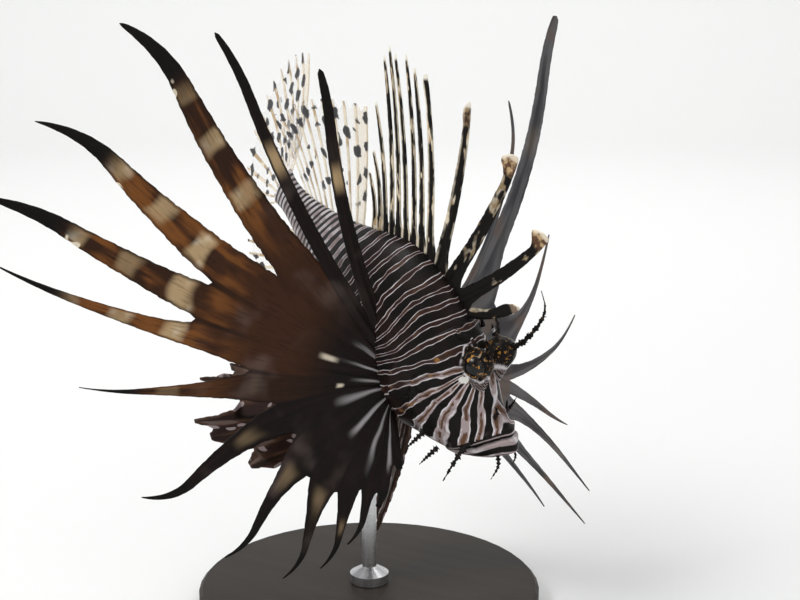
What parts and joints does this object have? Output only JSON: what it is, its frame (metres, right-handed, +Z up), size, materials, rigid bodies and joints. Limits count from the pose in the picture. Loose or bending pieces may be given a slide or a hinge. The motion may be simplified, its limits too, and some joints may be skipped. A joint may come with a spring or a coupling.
{
  "type": "red lionfish",
  "caption": "Still life-size model of a red lionfish, head down with its fan-like fins spread, held on a round display stand by one rod.",
  "frame": {"origin": "centre of the underside of the stand's round base", "axes": "+Z up out of the base; the fish heads along +X with its nose pitched down, +Y is to its left"},
  "size_m": [0.1808, 0.2417, 0.2378],
  "materials": {
    "skin": "satin, banded",
    "eye": "clear gloss",
    "tentacle": "satin",
    "banded_fin": "satin, banded",
    "clear_fin": "translucent, spotted",
    "dark_fin": "satin, spotted",
    "stand_base": "black stained, satin",
    "stand_rod": "brushed"
  },
  "bodies": {
    "root": {"head": "skin", "lower_jaw": "skin", "trunk": "skin", "tail_stalk": "skin", "eye_right": "eye", "eye_left": "eye", "brow_tentacle_right": "tentacle", "brow_tentacle_left": "tentacle", "spiny_dorsal_fin": "banded_fin", "soft_dorsal_fin": "clear_fin", "anal_fin": "clear_fin", "tail_fin": "clear_fin", "pectoral_fin_right": "banded_fin", "pectoral_fin_left": "banded_fin", "pelvic_fin_right": "dark_fin", "pelvic_fin_left": "dark_fin", "stand_base": "stand_base", "stand_rod": "stand_rod"}
  },
  "joints": []
}
